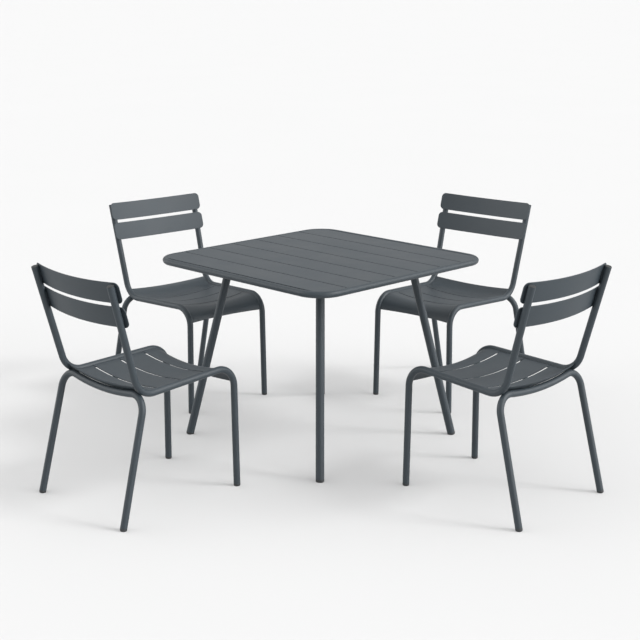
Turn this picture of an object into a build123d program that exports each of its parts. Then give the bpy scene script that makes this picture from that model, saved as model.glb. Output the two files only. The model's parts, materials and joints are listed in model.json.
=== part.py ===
from build123d import *
import os
from math import cos, radians, sin, tan

os.makedirs("parts", exist_ok=True)

# Patio dining set: a square slatted table and four stacking chairs, all in
# powder-coated bent tube and sheet.  Millimetres, +Z up, floor at z = 0.
# The origin is the middle of the whole set's footprint, on the floor.

# ---- where things stand (x, y, turn about +Z in degrees) ----
TABLE_PLACE = (-21.4, 19.9, 0.0)
CHAIR_PLACES = {  # measured from the table's centre; a chair at turn 0 faces +Y
    "chair_front": (-12.0, -862.0, 0.1),
    "chair_right": (865.5, 25.5, 90.2),
    "chair_left": (-810.0, 7.5, -93.3),
    "chair_back": (-20.0, 807.5, 183.7),
}

# ---- table ----
TABLE_HEIGHT = 740.0
TUBE = 12.5  # outside radius of the rim and of every chair tube
WALL = 2.0
RIM_HALF = 460.0  # half of the rim's width, on the tube's axis
RIM_BEND = 92.0  # bend radius on the tube's axis
SLAT_COUNT = 7
SLAT_PITCH = 127.0
SLAT_SLOT = 5.0
SLAT_DEPTH = 16.5  # folded edges included
SLAT_SHEET = 2.5
SLAT_DROP = 1.5  # the slats lie this far under the rim's crest
BEARER_WIDTH = 50.0
BEARER_DEPTH = 16.0
BEARER_SHORT = 70.0  # bearers stop this far short of the rim's axis
LEG_TUBE = 16.0
LEG_FOOT = 378.5  # leg axis at the floor, from the table's centre, both ways
LEG_HEAD = 254.5  # leg axis at the plate, both ways
PLATE = (60.0, 124.0, 5.0)
PLATE_CORNER = 10.0
BOLT_REACH = 44.0  # bolts stand this far either side of a leg, along Y
BOLT = 4.0  # shank radius
BOLT_HEAD = (13.0, 5.3)  # across flats, height
BOLT_CHAMFER = 0.6
BOLT_ROOM = 0.4  # plate holes are this much larger in radius
BUSH = (7.0, 10.0)  # outside radius and height of the bearers' bolt bushes

# ---- chair, in its own frame: x to the sitter's right, y forward ----
FRONT_FOOT = Vector(201.3, 242.9, 0)
FRONT_KNEE = Vector(193.6, 241.7, 458.9)  # corners are where tube axes would meet
REAR_CORNER = Vector(211.5, -192.0, 438.5)
POST_TOP = Vector(220.0, -297.0, 840.0)
KNEE_BEND = 74.0
REAR_BEND = 78.0
HOOP_FOOT = (243.8, -301.6)
HOOP_LEAN = 0.2618  # forward run per unit of height
HOOP_SPLAY = -0.0214  # inward run per unit of height
HOOP_CORNER = 449.6  # height where leg and crossbar axes would meet
HOOP_BEND = 60.0
HOOP_DIP = 9.0  # degrees the crossbar falls away from each bend
SEAT_SHEET = 3.0
SEAT_RISE = 5.0  # sheet's top above the side tubes' axis, at the sides
SEAT_DISH = 20.0  # sheet's sag half-way across
APRON_DROP = 63.0  # front sheet reaches this far below the knee corner
REAR_SWEEP = 54.0  # degrees of the rear bend that the rear sheet follows
SEAT_SLOTS = (126.0, 18.0, -92.0)  # slot centres along the rails
SEAT_SLOT = 7.5
SLOT_END = 26.0  # slots stop this far from the side tubes' axis
BACK_SHEET = 3.5
BACK_HEIGHT = 75.5
BACK_GAP = 13.0
BACK_PROUD = 4.5  # upper slat stands this far above the posts' ends
BACK_OVERHANG = 18.0  # slat ends past the posts' axes
BACK_RADIUS = 1000.0
BACK_CORNER = 19.0
BACK_EDGE = 1.2  # rounding of the slats' edges
BLANK_SPARE = 15.0  # the bowed blank is this much larger all round before trimming

# ---- feet and caps ----
FOOT_HEAD = 9.0  # plastic below the tube's end
SPIGOT = 24.0
SPIGOT_GAP = 0.15
CAP_HEAD = 2.5
TOUCH = 0.05  # gap left where pieces bear on each other


def bend_points(before, corner, after, radius):
    """Start, middle and end of the arc that rounds a corner."""
    back = (before - corner).normalized()
    on = (after - corner).normalized()
    half = radians(back.get_angle(on)) / 2
    inward = (back + on).normalized()
    reach = radius / tan(half)
    mid = corner + inward * (radius / sin(half) - radius)
    return corner + back * reach, mid, corner + on * reach


def draw_path(corners, radii):
    """Straight runs joined by tangent bends, in the open line builder."""
    start = corners[0]
    for before, corner, after, radius in zip(corners, corners[1:], corners[2:], radii):
        first, mid, last = bend_points(before, corner, after, radius)
        Line(start, first)
        ThreePointArc(first, mid, last)
        start = last
    Line(start, corners[-1])


def draw_ring(outer, inner):
    """A tube's cross-section; solid when inner is zero."""
    Circle(outer)
    if inner:
        Circle(inner, mode=Mode.SUBTRACT)


def bent_tube(corners, radii, outer, inner):
    """Round tube along straight runs and tangent bends."""
    with BuildPart() as made:
        with BuildLine():
            draw_path(corners, radii)
        with BuildSketch(Plane(origin=corners[0], z_dir=corners[1] - corners[0])):
            draw_ring(outer, inner)
        sweep()
    return made.part


def along(start, end, distance):
    """Point at a distance from start towards end."""
    return start + (end - start).normalized() * distance


def axis_plane(origin, upward):
    """Plane holding an axis: local y runs up the axis, local x straight out of it."""
    out = Vector(0, 1, 0).cross(upward).normalized()
    return Plane(origin=origin, x_dir=out, z_dir=out.cross(upward))


def foot_glide(foot, upward, outer):
    """Plastic foot: rounded head under the tube, spigot inside it, flat at z = 0."""
    bore = outer - WALL - SPIGOT_GAP
    with BuildPart() as made:
        with BuildSketch(axis_plane(foot, upward)):
            with BuildLine():
                Line((0, -3), (outer - 7, -3))
                ThreePointArc((outer - 7, -3), (outer - 2.05, -0.95), (outer, 4))
                Polyline((outer, 4), (outer, FOOT_HEAD), (bore, FOOT_HEAD),
                         (bore, FOOT_HEAD + SPIGOT), (0, FOOT_HEAD + SPIGOT), (0, -3))
            make_face()
        revolve(axis=Axis(foot, upward))
        with Locations((foot.X, foot.Y, -20)):
            Box(90, 90, 40, mode=Mode.SUBTRACT)
    return made.part


def post_cap(top, upward):
    """Plastic plug: low domed head over the post's end, spigot inside it."""
    bore = TUBE - WALL - SPIGOT_GAP
    with BuildPart() as made:
        with BuildSketch(axis_plane(top, upward)):
            with BuildLine():
                Polyline((0, -SPIGOT), (bore, -SPIGOT), (bore, 0), (TUBE, 0), (TUBE, 0.8))
                ThreePointArc((TUBE, 0.8), (TUBE - 2, 2), (TUBE - 5, CAP_HEAD))
                Polyline((TUBE - 5, CAP_HEAD), (0, CAP_HEAD), (0, -SPIGOT))
            make_face()
        revolve(axis=Axis(top, upward))
    return made.part


# ---- table ----
RIM_LEVEL = TABLE_HEIGHT - TUBE
SLAT_TOP = TABLE_HEIGHT - SLAT_DROP
BEARER_TOP = SLAT_TOP - SLAT_DEPTH
PLATE_TOP = BEARER_TOP - BEARER_DEPTH
PLATE_UNDER = PLATE_TOP - PLATE[2]
QUARTERS = [(1, 1), (-1, 1), (-1, -1), (1, -1)]


def rim_ring(outer, inner):
    """Rounded square ring of tube, closed on itself at the middle of one side."""
    a = RIM_HALF
    corners = [Vector(x, y, RIM_LEVEL) for x, y in
               [(0, -a), (a, -a), (a, a), (-a, a), (-a, -a), (0, -a)]]
    return bent_tube(corners, [RIM_BEND] * 4, outer, inner)


def rim_inside():
    """Everything within the rim's axis, for trimming what ends at the rim."""
    with BuildPart() as made:
        with BuildSketch(Plane.XY.offset(PLATE_UNDER)):
            RectangleRounded(2 * RIM_HALF, 2 * RIM_HALF, RIM_BEND)
        extrude(amount=TABLE_HEIGHT - PLATE_UNDER)
    return made.part


def table_slat(middle, inside, rim):
    """Sheet slat with both long edges folded down, its ends coped to the rim."""
    width = SLAT_PITCH - SLAT_SLOT
    with BuildPart() as made:
        with BuildSketch(Plane.YZ):
            with Locations((middle, SLAT_TOP - SLAT_DEPTH / 2)):
                Rectangle(width, SLAT_DEPTH)
            with Locations((middle, SLAT_TOP - SLAT_DEPTH / 2 - SLAT_SHEET)):
                Rectangle(width - 2 * SLAT_SHEET, SLAT_DEPTH, mode=Mode.SUBTRACT)
        extrude(amount=RIM_HALF + 10, both=True)
        crest = made.edges().filter_by(Axis.X).group_by(Axis.Z)[-1]
        fillet(crest, radius=SLAT_SHEET * 0.8)
        add(inside, mode=Mode.INTERSECT)
        add(rim, mode=Mode.SUBTRACT)
    return made.part


def bolt_spots():
    """Bolt positions, one each side of every leg."""
    return [(LEG_HEAD * sx, LEG_HEAD * sy + BOLT_REACH * side)
            for sx, sy in QUARTERS for side in (-1, 1)]


def bearers():
    """Three box tubes welded under the slats, bushed for the bolts."""
    bush_radius, bush_height = BUSH
    with BuildPart() as made:
        with BuildSketch(Plane.XZ):
            for x in (-LEG_HEAD, 0, LEG_HEAD):
                with Locations((x, BEARER_TOP - BEARER_DEPTH / 2)):
                    RectangleRounded(BEARER_WIDTH, BEARER_DEPTH, WALL)
                    Rectangle(BEARER_WIDTH - 2 * WALL, BEARER_DEPTH - 2 * WALL,
                              mode=Mode.SUBTRACT)
        extrude(amount=RIM_HALF - BEARER_SHORT, both=True)
        with BuildSketch(Plane.XY.offset(PLATE_TOP)):
            with Locations(bolt_spots()):
                Circle(bush_radius)
        extrude(amount=bush_height)
        with BuildSketch(Plane.XY.offset(PLATE_TOP)):
            with Locations(bolt_spots()):
                Circle(BOLT + TOUCH)
        extrude(amount=bush_height, mode=Mode.SUBTRACT)
    return made.part


def leg_plates():
    """Rounded plates that the legs are welded to, drilled for the bolts."""
    with BuildPart() as made:
        with BuildSketch(Plane.XY.offset(PLATE_UNDER)):
            with Locations([(LEG_HEAD * sx, LEG_HEAD * sy) for sx, sy in QUARTERS]):
                RectangleRounded(PLATE[0], PLATE[1], PLATE_CORNER)
            with Locations(bolt_spots()):
                Circle(BOLT + BOLT_ROOM, mode=Mode.SUBTRACT)
        extrude(amount=PLATE[2])
    return made.part


def table_bolts():
    """Hexagon bolts, heads under the plates."""
    across, height = BOLT_HEAD
    with BuildPart() as made:
        with BuildSketch(Plane.XY.offset(PLATE_UNDER - height)):
            with Locations(bolt_spots()):
                RegularPolygon(across / 2, 6, major_radius=False)
        extrude(amount=height)
        chamfer(made.faces().group_by(Axis.Z)[0].edges(), length=BOLT_CHAMFER)
        with BuildSketch(Plane.XY.offset(PLATE_UNDER)):
            with Locations(bolt_spots()):
                Circle(BOLT)
        extrude(amount=PLATE[2] + BUSH[1])
    return made.part


def leg_ends(sx, sy):
    """A table leg's axis: where it meets the floor and the plate."""
    return (Vector(LEG_FOOT * sx, LEG_FOOT * sy, 0),
            Vector(LEG_HEAD * sx, LEG_HEAD * sy, PLATE_UNDER))


def table_leg(sx, sy):
    """Splayed straight tube, square at the foot and cut level at the plate."""
    foot, head = leg_ends(sx, sy)
    with BuildPart() as made:
        with BuildSketch(Plane(origin=along(foot, head, FOOT_HEAD), z_dir=head - foot)):
            draw_ring(LEG_TUBE, LEG_TUBE - WALL)
        extrude(amount=(head - foot).length + 10)
        with Locations((head.X, head.Y, PLATE_UNDER + 30)):
            Box(120, 120, 60, mode=Mode.SUBTRACT)
    return made.part


def table_glides():
    """One plastic foot in each leg."""
    with BuildPart() as made:
        for sx, sy in QUARTERS:
            foot, head = leg_ends(sx, sy)
            add(foot_glide(foot, (head - foot).normalized(), LEG_TUBE))
    return made.part


# ---- chair ----
def mirrored(point, side):
    """A point of the sitter's right side, or its mirror image on the left."""
    return Vector(point.X * side, point.Y, point.Z)


def side_path(side):
    """Front foot, knee, rear corner and post top of one side tube."""
    foot, knee, corner, top = [mirrored(p, side) for p in
                               (FRONT_FOOT, FRONT_KNEE, REAR_CORNER, POST_TOP)]
    return [along(foot, knee, FOOT_HEAD), knee, corner, along(top, corner, CAP_HEAD)]


def side_tube(side, outer, inner):
    """Front leg, seat rail and back post bent from one tube."""
    return bent_tube(side_path(side), [KNEE_BEND, REAR_BEND], outer, inner)


def hoop_point(height, side=1):
    """Point of a rear leg's axis at a height."""
    return Vector(side * (HOOP_FOOT[0] + HOOP_SPLAY * height),
                  HOOP_FOOT[1] + HOOP_LEAN * height, height)


def hoop_bend(side):
    """Leg's end, middle and crossbar's end of one bend, and the crossbar's heading."""
    corner = hoop_point(HOOP_CORNER, side)
    dip = radians(HOOP_DIP)
    fall = Vector(0, -HOOP_LEAN, -1).normalized()
    heading = Vector(-side * cos(dip), 0, 0) + fall * sin(dip)
    return bend_points(hoop_point(0, side), corner, corner + heading * 100, HOOP_BEND)


def rear_hoop():
    """Both rear legs and the dipped crossbar between them, one bent tube."""
    right, left = hoop_bend(1), hoop_bend(-1)
    dip = right[2].X * tan(radians(HOOP_DIP) / 2)
    fall = Vector(0, -HOOP_LEAN, -1).normalized()
    lowest = Vector(0, right[2].Y, right[2].Z) + fall * dip
    start = along(hoop_point(0), right[0], FOOT_HEAD)
    end = along(hoop_point(0, -1), left[0], FOOT_HEAD)
    with BuildPart() as made:
        with BuildLine():
            Line(start, right[0])
            ThreePointArc(*right)
            ThreePointArc(right[2], lowest, left[2])
            ThreePointArc(*reversed(left))
            Line(left[0], end)
        with BuildSketch(Plane(origin=start, z_dir=right[0] - start)):
            draw_ring(TUBE, TUBE - WALL)
        sweep()
    return made.part


def side_view(point):
    """A chair point seen from the side, as (y, z)."""
    return Vector(point.Y, point.Z)


def rail_point(y):
    """Point of the rails' axis at a given y, seen from the side."""
    knee, corner = side_view(FRONT_KNEE), side_view(REAR_CORNER)
    return knee + (corner - knee) * ((knee.X - y) / (knee.X - corner.X))


def shifted(points, rise):
    """A side-view path moved square to itself: outwards at the knee, up at the rails."""
    normals = []
    for start, end in zip(points, points[1:]):
        run = (end - start).normalized()
        normals.append(Vector(run.Y, -run.X))
    moved = [points[0] + normals[0] * rise]
    for corner, first, second in zip(points[1:], normals, normals[1:]):
        moved.append(corner + (first + second) * (rise / (1 + first.dot(second))))
    return moved + [points[-1] + normals[-1] * rise]


def draw_strip(points, radii, bends_in, rise):
    """Closed outline of sheet along a side-view path, its top at the given rise."""
    top, under = shifted(points, rise), shifted(points, rise - SEAT_SHEET)
    draw_path(top, [r + rise * way for r, way in zip(radii, bends_in)])
    Line(top[-1], under[-1])
    draw_path(under[::-1], [r + (rise - SEAT_SHEET) * way
                            for r, way in zip(radii, bends_in)][::-1])
    Line(under[0], top[0])


def seat_strip(points, radii, bends_in, reach):
    """Dished sheet across the seat, lofted through sections from side to side."""
    with BuildPart() as made:
        for step in (-1, -0.8, -0.55, -0.28, 0, 0.28, 0.55, 0.8, 1):
            rise = SEAT_RISE - SEAT_DISH * (1 - step * step)
            with BuildSketch(Plane.YZ.offset(reach * step)):
                with BuildLine():
                    draw_strip(points, radii, bends_in, rise)
                make_face()
        loft()
    return made.part


def seat_slats(tubes):
    """Front, two middle and rear slats of the seat, trimmed to the side tubes."""
    knee, corner, top = [side_view(p) for p in (FRONT_KNEE, REAR_CORNER, POST_TOP)]
    apron = along(knee, side_view(FRONT_FOOT), 1.3 * KNEE_BEND)
    climb = along(corner, top, 1.3 * REAR_BEND)
    near = [rail_point(y + TOUCH) for y in SEAT_SLOTS]
    far = [rail_point(y - TOUCH) for y in SEAT_SLOTS]
    strips = {
        "seat_front_slat": ([apron, knee, near[0]], [KNEE_BEND], [1]),
        "seat_slat_2": ([far[0], near[1]], [], []),
        "seat_slat_3": ([far[1], near[2]], [], []),
        "seat_rear_slat": ([far[2], corner, climb], [REAR_BEND], [-1]),
    }
    made = {}
    for name, (points, radii, bends_in) in strips.items():
        reach = rail_x(points)
        with BuildPart() as slat:
            add(seat_strip(points, radii, bends_in, reach))
            for tube in tubes:
                add(tube, mode=Mode.SUBTRACT)
            with BuildSketch(Plane.XY.offset(400)):
                for y in SEAT_SLOTS:
                    with Locations((0, y)):
                        SlotOverall(2 * (reach - SLOT_END), SEAT_SLOT)
            extrude(amount=100, mode=Mode.SUBTRACT)
            if name == "seat_front_slat":
                with Locations((0, 200, FRONT_KNEE.Z - APRON_DROP - 50)):
                    Box(500, 200, 100, mode=Mode.SUBTRACT)
            if name == "seat_rear_slat":
                add(beyond_sweep(), mode=Mode.SUBTRACT)
        made[name] = slat.part
    return made


def beyond_sweep():
    """Wedge-shaped room behind the rear sheet's end, square to the bend there."""
    knee, corner, top = [side_view(p) for p in (FRONT_KNEE, REAR_CORNER, POST_TOP)]
    first = bend_points(knee, corner, top, REAR_BEND)[0]
    down = (corner - knee).normalized()
    down = Vector(-down.Y, down.X)
    centre = first - down * REAR_BEND
    edge = down.rotate(Axis.Z, -REAR_SWEEP)
    with BuildPart() as made:
        with BuildSketch(Plane.YZ):
            with BuildLine():
                Polyline(centre, centre + edge * 200, centre + edge * 200 + (-200, 200),
                         centre + (-100, 200), centre)
            make_face()
        extrude(amount=400, both=True)
    return made.part


def rail_x(points):
    """Side tube axis's mean distance from the centre plane along a seat strip."""
    middle = sum(p.X for p in points) / len(points)
    share = (FRONT_KNEE.Y - middle) / (FRONT_KNEE.Y - REAR_CORNER.Y)
    return FRONT_KNEE.X + (REAR_CORNER.X - FRONT_KNEE.X) * min(max(share, 0), 1)


def back_plane(down):
    """Plane across the posts at a distance below their tops; local y runs forward."""
    top, corner = side_view(POST_TOP), side_view(REAR_CORNER)
    spot, up = along(top, corner, down), (top - corner).normalized()
    return Plane(origin=(0, spot.X, spot.Y), x_dir=(1, 0, 0), z_dir=(0, up.X, up.Y))


def back_slat(down):
    """Bowed sheet bearing on the fronts of both posts, its corners rounded."""
    post_x = along(POST_TOP, REAR_CORNER, down + BACK_HEIGHT).X
    centre = ((BACK_RADIUS + TUBE + TOUCH) ** 2 - post_x ** 2) ** 0.5
    reach = POST_TOP.X + BACK_OVERHANG
    with BuildPart() as made:
        with BuildSketch(back_plane(down + BACK_HEIGHT + BLANK_SPARE)):
            with Locations((0, centre)):
                Circle(BACK_RADIUS)
                Circle(BACK_RADIUS - BACK_SHEET, mode=Mode.SUBTRACT)
            with Locations((0, 0)):
                Rectangle(2 * (reach + BLANK_SPARE), 200, mode=Mode.INTERSECT)
        extrude(amount=BACK_HEIGHT + 2 * BLANK_SPARE)
        across = back_plane(down + BACK_HEIGHT / 2)
        with BuildSketch(Plane(origin=across.origin, x_dir=(1, 0, 0), z_dir=across.y_dir)):
            RectangleRounded(2 * reach, BACK_HEIGHT, BACK_CORNER)
        extrude(amount=90, both=True, mode=Mode.INTERSECT)
        fillet(made.edges(), radius=BACK_EDGE)
    return made.part


def chair_glides():
    """Plastic feet in both front legs and both rear legs."""
    front = (FRONT_KNEE - FRONT_FOOT).normalized()
    rear = (hoop_point(100) - hoop_point(0)).normalized()
    with BuildPart() as made:
        for side in (1, -1):
            add(foot_glide(mirrored(FRONT_FOOT, side), mirrored(front, side), TUBE))
            add(foot_glide(hoop_point(0, side), mirrored(rear, side), TUBE))
    return made.part


def chair_caps():
    """Plug in the top of each back post."""
    with BuildPart() as made:
        for side in (1, -1):
            top, corner = mirrored(POST_TOP, side), mirrored(REAR_CORNER, side)
            add(post_cap(along(top, corner, CAP_HEAD), (top - corner).normalized()))
    return made.part


def chair_pieces():
    """Every piece of one chair, in the chair's own frame."""
    tubes = [side_tube(side, TUBE + TOUCH, 0) for side in (1, -1)]
    pieces = {
        "side_frame_right": side_tube(1, TUBE, TUBE - WALL),
        "side_frame_left": side_tube(-1, TUBE, TUBE - WALL),
        "rear_leg_hoop": rear_hoop(),
        "back_slat_upper": back_slat(-BACK_PROUD),
        "back_slat_lower": back_slat(BACK_HEIGHT + BACK_GAP - BACK_PROUD),
        "foot_glides": chair_glides(),
        "post_caps": chair_caps(),
    }
    pieces.update(seat_slats(tubes))
    return pieces


def table_pieces():
    """Every piece of the table, about its own centre."""
    inside, rim = rim_inside(), rim_ring(TUBE + TOUCH, 0)
    pieces = {
        "rim_tube": rim_ring(TUBE, TUBE - WALL),
        "bearers": bearers(),
        "leg_plates": leg_plates(),
        "bolts": table_bolts(),
        "foot_glides": table_glides(),
    }
    for number in range(SLAT_COUNT):
        middle = (number - (SLAT_COUNT - 1) / 2) * SLAT_PITCH
        pieces[f"top_slat_{number + 1}"] = table_slat(middle, inside, rim)
    for number, (sx, sy) in enumerate(QUARTERS):
        pieces[f"leg_{number + 1}"] = table_leg(sx, sy)
    return pieces


def hand_over(owner, pieces, x, y, turn):
    """Set an item's pieces in their place in the set and write each to its file."""
    for name, piece in pieces.items():
        placed = piece.moved(Location((x, y, 0), (0, 0, turn)))
        placed.label = f"{owner}_{name}"
        export_step(placed, f"parts/{placed.label}.step")


hand_over("table", table_pieces(), *TABLE_PLACE)
chair = chair_pieces()
for chair_name, (x, y, turn) in CHAIR_PLACES.items():
    hand_over(chair_name, chair, TABLE_PLACE[0] + x, TABLE_PLACE[1] + y, turn)
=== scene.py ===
"""Looks of the patio dining set: powder-coated tube and sheet, plastic feet and caps, a pale studio."""

import json
from math import cos, pi, radians, sin

import bmesh
import bpy
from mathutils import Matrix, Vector

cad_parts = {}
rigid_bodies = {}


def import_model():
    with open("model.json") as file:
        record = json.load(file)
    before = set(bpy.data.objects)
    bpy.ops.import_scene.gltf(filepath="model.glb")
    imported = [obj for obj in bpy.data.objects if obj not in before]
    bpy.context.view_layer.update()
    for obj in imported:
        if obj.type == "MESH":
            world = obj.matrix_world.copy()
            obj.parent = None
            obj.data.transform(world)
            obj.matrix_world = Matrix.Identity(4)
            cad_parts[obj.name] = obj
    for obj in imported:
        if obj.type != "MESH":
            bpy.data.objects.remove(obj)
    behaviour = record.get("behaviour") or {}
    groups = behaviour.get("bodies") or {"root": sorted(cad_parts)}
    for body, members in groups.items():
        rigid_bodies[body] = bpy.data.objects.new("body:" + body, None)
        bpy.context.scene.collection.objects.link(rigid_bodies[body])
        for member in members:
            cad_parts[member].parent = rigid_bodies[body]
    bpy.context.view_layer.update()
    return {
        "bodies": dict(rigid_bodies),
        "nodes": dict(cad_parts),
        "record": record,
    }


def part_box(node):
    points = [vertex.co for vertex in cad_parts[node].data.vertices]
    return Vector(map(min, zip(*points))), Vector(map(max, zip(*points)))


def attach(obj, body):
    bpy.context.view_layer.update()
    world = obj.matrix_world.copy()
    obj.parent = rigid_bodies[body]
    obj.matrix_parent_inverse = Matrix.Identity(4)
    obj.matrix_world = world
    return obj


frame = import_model()

TABLE = "table"
CHAIRS = sorted(name for name in frame["bodies"] if name != TABLE)

# ---- weld seams, in metres ----
BEAD = 0.0017  # radius of a weld bead
RIPPLE = 0.13  # share of that by which the bead swells at each puddle
RIPPLE_PITCH = 0.0032
BEAD_END = 0.0034  # length over which a bead narrows to its tip
BEAD_TIP = 0.15  # share of its radius that is left there
BEAD_STEP = 0.0009
BEAD_SIDES = 8

# ---- the pieces that the seams join; chair places are x to the right, y forward ----
LEG_TUBE = 0.016  # radius
TUBE = 0.0125
FRONT_FOOT = Vector((0.2013, 0.2429, 0))
FRONT_KNEE = Vector((0.1936, 0.2417, 0.4589))
REAR_CORNER = Vector((0.2115, -0.1920, 0.4385))
POST_TOP = Vector((0.2200, -0.2970, 0.8400))
BACK_SEAMS = (0.033, 0.1215)  # middles of the back slats, down the posts
BACK_SEAM = 0.044  # length
BACK_TURN = 12.5  # degrees from straight ahead to where the slats bear on a post
CREVICE = 27.0  # degrees from there to a bead on either side
SEAT_SEAMS = ((0.142, 0.172), (0.040, 0.104), (-0.078, 0.002), (-0.128, -0.102))  # ends, forward
SEAT_SEAM_RISE = 0.0005  # beads lie this far over the rails' axes, under the sheet

# ---- camera, in metres and degrees, about the table's centre ----
SENSOR = 36.0
LENS = 72.75
CAMERA_AZIMUTH = 45.287
CAMERA_DISTANCE = 5.0188  # along the floor
CAMERA_HEIGHT = 1.7629
CAMERA_PITCH = 14.347
CAMERA_SHIFT = (-0.0010, 0.0004)  # of the picture's width

# ---- light: angles in degrees, azimuths from +X towards +Y ----
KEY_AZIMUTH = 36.6
KEY_ELEVATION = 42.8
KEY_SPREAD = 14.0
KEY_POWER = 1.17
KEY_DISTANCE = 6.0  # only where the lamp is drawn; its light is parallel
BOX_ELEVATION = 6.7  # softboxes stand low and far away
BOX_EDGE = (0.70, 0.92)  # cosines where a softbox starts and is full
RIGHT_AZIMUTH = 24.7
RIGHT_LEVEL = 4.1
LEFT_AZIMUTH = 223.7
LEFT_LEVEL = 1.93
SKY_LOW = 0.58
SKY_HIGH = 1.04
SKY_CLIMB = (0.0, 0.8)  # heights, as sines, between which the sky brightens
FLOOR_RADIUS = 400.0
FLOOR_SIDES = 96
FLOOR_DROP = 0.0005  # keeps the floor clear of the feet's undersides
FLOOR_ALBEDO = 0.477
FLOOR_GLOW = 0.175  # light that the translucent floor gives off itself

# ---- colours, linear ----
SLATE = (0.0284, 0.0378, 0.0454)
COAT_GLOSS = 0.35  # specular level of the powder coat
EDGE_ROLL = 0.0012  # metres
COAT_ROUGHNESS = 0.47
COAT_VARIES = 0.04  # roughness either side of that
DRIFT_SHARE = 0.65  # of the coat's tone that drifts slowly; the rest is speckle
PLASTIC = (0.0200, 0.0225, 0.0240)
ZINC = (0.42, 0.43, 0.45)


# ---- materials ----
def new_material(name):
    """A node material, with its nodes, its links and its surface shader."""
    material = bpy.data.materials.new(name)
    material.use_nodes = True
    tree = material.node_tree
    return material, tree.nodes, tree.links, tree.nodes["Principled BSDF"]


def noise(nodes, links, scale, detail, roughness=0.5):
    """Noise over the object's own space, at a scale per metre."""
    place = nodes.get("Texture Coordinate") or nodes.new("ShaderNodeTexCoord")
    texture = nodes.new("ShaderNodeTexNoise")
    texture.inputs["Scale"].default_value = scale
    texture.inputs["Detail"].default_value = detail
    texture.inputs["Roughness"].default_value = roughness
    links.new(place.outputs["Object"], texture.inputs["Vector"])
    return texture.outputs["Fac"]


def remap(nodes, links, source, low, high, start=0.3, end=0.7):
    """A value carried from one range to another."""
    step = nodes.new("ShaderNodeMapRange")
    for name, value in (("From Min", start), ("From Max", end), ("To Min", low), ("To Max", high)):
        step.inputs[name].default_value = value
    links.new(source, step.inputs["Value"])
    return step.outputs["Result"]


def tinted(nodes, links, source, colour, spread):
    """A colour that drifts darker and lighter by a share of itself."""
    ramp = nodes.new("ShaderNodeValToRGB")
    for stop, share, place in zip(ramp.color_ramp.elements, (1 - spread, 1 + spread), (0.3, 0.7)):
        stop.position = place
        stop.color = (*[c * share for c in colour], 1)
    links.new(source, ramp.inputs["Fac"])
    return ramp.outputs["Color"]


def bumped(nodes, links, source, distance, strength, before=None):
    """Bump from a height texture, on top of an earlier bump if there is one."""
    bump = nodes.new("ShaderNodeBump")
    bump.inputs["Distance"].default_value = distance
    bump.inputs["Strength"].default_value = strength
    links.new(source, bump.inputs["Height"])
    if before:
        links.new(before, bump.inputs["Normal"])
    return bump.outputs["Normal"]


def softened(nodes, radius):
    """Shading normal that rolls round sharp edges, as a coat of paint does."""
    bevel = nodes.new("ShaderNodeBevel")
    bevel.inputs["Radius"].default_value = radius
    return bevel.outputs["Normal"]


def powder_coat(name, colour):
    """Satin powder coat: drifting tone, fine orange peel, and roughness that varies with it."""
    material, nodes, links, shader = new_material(name)
    drift = noise(nodes, links, scale=7.0, detail=4.0)
    speckle = noise(nodes, links, scale=900.0, detail=2.0)
    peel = noise(nodes, links, scale=420.0, detail=3.0, roughness=0.6)
    mixed = nodes.new("ShaderNodeMath")
    mixed.operation = "MULTIPLY_ADD"
    mixed.inputs[1].default_value = DRIFT_SHARE
    links.new(drift, mixed.inputs[0])
    links.new(remap(nodes, links, speckle, 0.0, 1 - DRIFT_SHARE), mixed.inputs[2])
    tone = tinted(nodes, links, mixed.outputs[0], colour, spread=0.10)
    links.new(tone, shader.inputs["Base Color"])
    rough = remap(nodes, links, drift, COAT_ROUGHNESS - COAT_VARIES, COAT_ROUGHNESS + COAT_VARIES)
    links.new(rough, shader.inputs["Roughness"])
    rolled = softened(nodes, EDGE_ROLL)
    surface = bumped(nodes, links, peel, distance=0.00035, strength=0.25, before=rolled)
    links.new(surface, shader.inputs["Normal"])
    shader.inputs["Specular IOR Level"].default_value = COAT_GLOSS
    return material


def moulded_plastic(name, colour):
    """Matt moulded plastic with a fine spark-eroded grain."""
    material, nodes, links, shader = new_material(name)
    grain = noise(nodes, links, scale=1500.0, detail=3.0, roughness=0.7)
    scuffs = noise(nodes, links, scale=60.0, detail=5.0, roughness=0.6)
    tone = tinted(nodes, links, scuffs, colour, spread=0.18)
    links.new(tone, shader.inputs["Base Color"])
    links.new(remap(nodes, links, scuffs, low=0.50, high=0.66), shader.inputs["Roughness"])
    surface = bumped(nodes, links, grain, distance=0.0002, strength=0.35)
    links.new(surface, shader.inputs["Normal"])
    return material


def zinc_plate(name, colour):
    """Zinc-plated steel, brushed round by tumbling and a little dulled."""
    material, nodes, links, shader = new_material(name)
    cloud = noise(nodes, links, scale=120.0, detail=4.0, roughness=0.6)
    marks = noise(nodes, links, scale=2200.0, detail=2.0)
    tone = tinted(nodes, links, cloud, colour, spread=0.15)
    links.new(tone, shader.inputs["Base Color"])
    links.new(remap(nodes, links, cloud, low=0.28, high=0.46), shader.inputs["Roughness"])
    surface = bumped(nodes, links, marks, distance=0.0001, strength=0.3)
    links.new(surface, shader.inputs["Normal"])
    shader.inputs["Metallic"].default_value = 1.0
    return material


def dress(materials):
    """Give every CAD node the material of its slot in the record."""
    for subpart in frame["record"]["subparts"]:
        node = frame["nodes"][subpart["node"]]
        node.data.materials.clear()
        node.data.materials.append(materials[subpart["material_slot"]])


def table_centre():
    """Middle of the table's rim."""
    low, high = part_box("table_rim_tube")
    return (low + high) / 2


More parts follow.
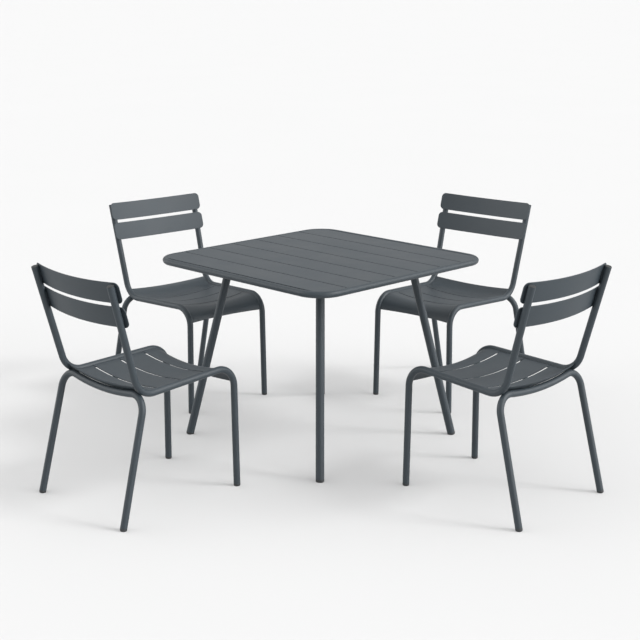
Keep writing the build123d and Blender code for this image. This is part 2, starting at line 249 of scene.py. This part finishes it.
# ---- weld seams ----
def bead_radius(done, left):
    """Radius of a bead with so much length behind and ahead: rippled, and rounded at its ends."""
    share = min(1.0, done / BEAD_END, left / BEAD_END)
    swell = 1 + RIPPLE * cos(2 * pi * done / RIPPLE_PITCH)
    return BEAD * swell * (BEAD_TIP + (1 - BEAD_TIP) * sin(share * pi / 2))


def add_bead(mesh, spots):
    """One bead of weld metal through a row of spots a bead step apart."""
    last = len(spots) - 1
    turns = [2 * pi * n / BEAD_SIDES for n in range(BEAD_SIDES)]
    rings = []
    for k, spot in enumerate(spots):
        heading = (spots[min(k + 1, last)] - spots[max(k - 1, 0)]).normalized()
        steep = abs(heading.z) > 0.9
        side = heading.cross(Vector((0, 1, 0) if steep else (0, 0, 1))).normalized()
        rise = side.cross(heading)
        radius = bead_radius(k * BEAD_STEP, (last - k) * BEAD_STEP)
        rings.append([mesh.verts.new(spot + (side * cos(a) + rise * sin(a)) * radius) for a in turns])
    for first, second in zip(rings, rings[1:]):
        for n in range(BEAD_SIDES):
            after = (n + 1) % BEAD_SIDES
            mesh.faces.new((first[n], first[after], second[after], second[n]))
    mesh.faces.new(rings[0][::-1])
    mesh.faces.new(rings[-1])


def straight(start, end):
    """Spots a bead step apart from start to end."""
    count = round((end - start).length / BEAD_STEP)
    return [start.lerp(end, k / count) for k in range(count + 1)]


def seam_piece(name, body, beads, material):
    """All of a body's beads of one kind as a smooth mesh that rides on it."""
    mesh = bmesh.new()
    for spots in beads:
        add_bead(mesh, spots)
    bmesh.ops.recalc_face_normals(mesh, faces=mesh.faces)
    for face in mesh.faces:
        face.smooth = True
    data = bpy.data.meshes.new(name)
    mesh.to_mesh(data)
    mesh.free()
    data.materials.append(material)
    piece = bpy.data.objects.new(name, data)
    bpy.context.scene.collection.objects.link(piece)
    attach(piece, body)


def leg_seam(leg):
    """Ring of weld round a table leg's head, under its plate, that runs on past its start."""
    low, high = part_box(leg)
    middle = (low + high) / 2
    head_x = low.x + LEG_TUBE if middle.x > table_centre().x else high.x - LEG_TUBE
    head_y = low.y + LEG_TUBE if middle.y > table_centre().y else high.y - LEG_TUBE
    head = Vector((head_x, head_y, high.z - BEAD / 2))
    radius = LEG_TUBE + BEAD / 2
    turn = BEAD_STEP / radius
    count = round((2 * pi * radius + 2 * BEAD_END) / BEAD_STEP)
    return [head + Vector((cos(turn * k), sin(turn * k), 0)) * radius for k in range(count)]


def chair_place(chair):
    """A function that carries a point of a chair's own frame into the set's frame."""
    joints = {joint["child"]: joint for joint in frame["record"]["behaviour"]["joints"]}
    mounts = {mount["name"]: mount for mount in frame["record"]["mounts"]}
    forward = Vector(joints[chair]["axis"])
    right = Vector((forward.y, -forward.x, 0))
    foot = Vector(mounts[chair + "_glide_face"]["pos_m"])
    origin = foot - right * FRONT_FOOT.x - forward * FRONT_FOOT.y
    return lambda point: origin + right * point.x + forward * point.y + Vector((0, 0, point.z))


def back_seams(put):
    """Beads in the crevices between the back slats and both posts."""
    across = Vector((1, 0, 0))
    down = (REAR_CORNER - POST_TOP).normalized()
    ahead = across.cross(down).normalized()
    beads = []
    for side in (1, -1):
        for middle in BACK_SEAMS:
            for lean in (-CREVICE, CREVICE):
                turn = radians(BACK_TURN + lean)
                out = (ahead * cos(turn) - across * sin(turn)) * TUBE
                ends = [POST_TOP + out + down * (middle + half) for half in (-BACK_SEAM / 2, BACK_SEAM / 2)]
                beads.append(straight(*[put(Vector((end.x * side, end.y, end.z))) for end in ends]))
    return beads


def seat_seams(put):
    """Beads under the seat slats' ends, along both rails."""
    beads = []
    for side in (1, -1):
        for seam in SEAT_SEAMS:
            ends = []
            for y in seam:
                share = (FRONT_KNEE.y - y) / (FRONT_KNEE.y - REAR_CORNER.y)
                rail = FRONT_KNEE.lerp(REAR_CORNER, share)
                ends.append(put(Vector((side * (rail.x - TUBE), y, rail.z + SEAT_SEAM_RISE))))
            beads.append(straight(*ends))
    return beads


def weld_seams(material):
    """Seams at the table legs' heads, and behind the back and under the seat of every chair."""
    legs = [node for node in frame["nodes"] if node.startswith("table_leg_") and node[-1].isdigit()]
    seam_piece("table_leg_seams", TABLE, [leg_seam(leg) for leg in sorted(legs)], material)
    for chair in CHAIRS:
        put = chair_place(chair)
        seam_piece(chair + "_back_seams", chair, back_seams(put), material)
        seam_piece(chair + "_seat_seams", chair, seat_seams(put), material)


# ---- studio ----
def studio_floor():
    """Wide pale floor that fills the view to the horizon."""
    material, nodes, links, shader = new_material("studio_floor")
    clouds = noise(nodes, links, scale=0.6, detail=2.0)
    tone = tinted(nodes, links, clouds, (FLOOR_ALBEDO,) * 3, spread=0.004)
    links.new(tone, shader.inputs["Base Color"])
    shader.inputs["Roughness"].default_value = 1.0
    shader.inputs["Specular IOR Level"].default_value = 0.0
    shader.inputs["Emission Color"].default_value = (1, 1, 1, 1)
    shader.inputs["Emission Strength"].default_value = FLOOR_GLOW
    mesh = bpy.data.meshes.new("studio_floor")
    turns = [2 * pi * k / FLOOR_SIDES for k in range(FLOOR_SIDES)]
    rim = [(FLOOR_RADIUS * cos(turn), FLOOR_RADIUS * sin(turn), 0) for turn in turns]
    mesh.from_pydata(rim, [], [list(range(FLOOR_SIDES))])
    mesh.materials.append(material)
    floor = bpy.data.objects.new("studio_floor", mesh)
    floor.location.z = -FLOOR_DROP
    bpy.context.scene.collection.objects.link(floor)


def direction(azimuth, elevation):
    """Unit vector at an azimuth from +X and an elevation, in degrees."""
    turn, height = radians(azimuth), radians(elevation)
    return Vector((cos(turn) * cos(height), sin(turn) * cos(height), sin(height)))


def grey_ramp(nodes, links, source, levels, places):
    """Brightness that climbs from one level to another between two values."""
    ramp = nodes.new("ShaderNodeValToRGB")
    ramp.color_ramp.interpolation = "EASE"
    for stop, level, place in zip(ramp.color_ramp.elements, levels, places):
        stop.position = place
        stop.color = (level, level, level, 1)
    links.new(source, ramp.inputs["Fac"])
    return ramp.outputs["Color"]


def studio_world():
    """Sky that brightens overhead, with a broad softbox low on each side."""
    world = bpy.data.worlds.new("studio")
    bpy.context.scene.world = world
    world.use_nodes = True
    nodes, links = world.node_tree.nodes, world.node_tree.links
    place = nodes.new("ShaderNodeTexCoord")
    parts = nodes.new("ShaderNodeSeparateXYZ")
    links.new(place.outputs["Generated"], parts.inputs["Vector"])
    light = grey_ramp(nodes, links, parts.outputs["Z"], (SKY_LOW, SKY_HIGH), SKY_CLIMB)
    for azimuth, level in ((RIGHT_AZIMUTH, RIGHT_LEVEL), (LEFT_AZIMUTH, LEFT_LEVEL)):
        facing = nodes.new("ShaderNodeVectorMath")
        facing.operation = "DOT_PRODUCT"
        facing.inputs[1].default_value = direction(azimuth, BOX_ELEVATION)
        links.new(place.outputs["Generated"], facing.inputs[0])
        both = nodes.new("ShaderNodeVectorMath")
        links.new(light, both.inputs[0])
        links.new(grey_ramp(nodes, links, facing.outputs["Value"], (0.0, level), BOX_EDGE), both.inputs[1])
        light = both.outputs["Vector"]
    links.new(light, nodes["Background"].inputs["Color"])


def studio_key():
    """One soft key light from high on the right."""
    sun = bpy.data.lights.new("key", "SUN")
    sun.energy = KEY_POWER
    sun.angle = radians(KEY_SPREAD)
    lamp = bpy.data.objects.new("key", sun)
    towards = direction(KEY_AZIMUTH, KEY_ELEVATION)
    lamp.rotation_mode = "QUATERNION"
    lamp.rotation_quaternion = towards.to_track_quat("Z", "Y")
    lamp.location = towards * KEY_DISTANCE
    bpy.context.scene.collection.objects.link(lamp)


def studio_camera():
    """Viewpoint a little above a standing adult's eyes, over a corner of the table."""
    azimuth, pitch = radians(CAMERA_AZIMUTH), radians(CAMERA_PITCH)
    data = bpy.data.cameras.new("camera")
    data.sensor_width = SENSOR
    data.lens = LENS
    data.shift_x, data.shift_y = CAMERA_SHIFT
    camera = bpy.data.objects.new("camera", data)
    middle = table_centre()
    camera.location = (middle.x + sin(azimuth) * CAMERA_DISTANCE,
                       middle.y - cos(azimuth) * CAMERA_DISTANCE, CAMERA_HEIGHT)
    camera.rotation_euler = (pi / 2 - pitch, 0, azimuth)
    bpy.context.scene.collection.objects.link(camera)
    bpy.context.scene.camera = camera
    bpy.context.scene.view_settings.view_transform = "Standard"


coat = powder_coat("powder_coat_slate", SLATE)
dress({
    "powder_coat_slate": coat,
    "plastic_dark": moulded_plastic("plastic_dark", PLASTIC),
    "bolt_steel": zinc_plate("bolt_steel", ZINC),
})
weld_seams(coat)
studio_floor()
studio_world()
studio_key()
studio_camera()
